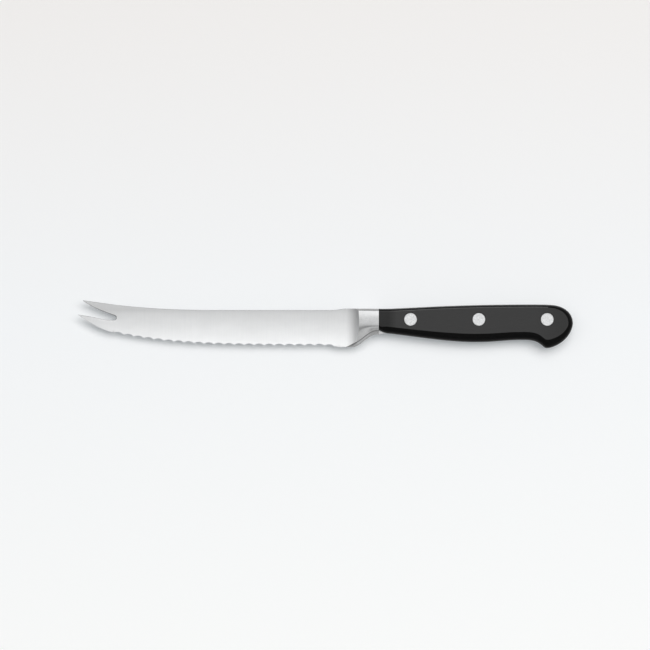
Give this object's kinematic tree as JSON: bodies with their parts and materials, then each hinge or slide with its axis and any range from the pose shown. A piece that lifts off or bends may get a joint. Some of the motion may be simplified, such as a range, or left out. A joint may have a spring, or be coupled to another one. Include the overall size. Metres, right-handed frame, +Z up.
{
  "type": "tomato knife",
  "caption": "Serrated kitchen knife with a forked tip, a forged bolster and full tang, and a riveted black handle with a hooked butt.",
  "frame": {"origin": "on the table under the centre of the bounding box, with the knife lying on its right side", "axes": "+X along the knife from the fork towards the butt, +Y from the cutting edge towards the spine, +Z up out of the left side that the picture shows"},
  "size_m": [0.2468, 0.0238, 0.013],
  "materials": {
    "blade_steel": "fine satin on the blade, polished on the bolster",
    "scale_plastic": "satin black",
    "rivet_metal": "fine turned and brushed face"
  },
  "bodies": {
    "root": {"forged_blade": "blade_steel", "left_scale": "scale_plastic", "right_scale": "scale_plastic", "front_rivet_sleeve": "rivet_metal", "front_rivet_pin": "rivet_metal", "middle_rivet_sleeve": "rivet_metal", "middle_rivet_pin": "rivet_metal", "rear_rivet_sleeve": "rivet_metal", "rear_rivet_pin": "rivet_metal"}
  },
  "joints": []
}
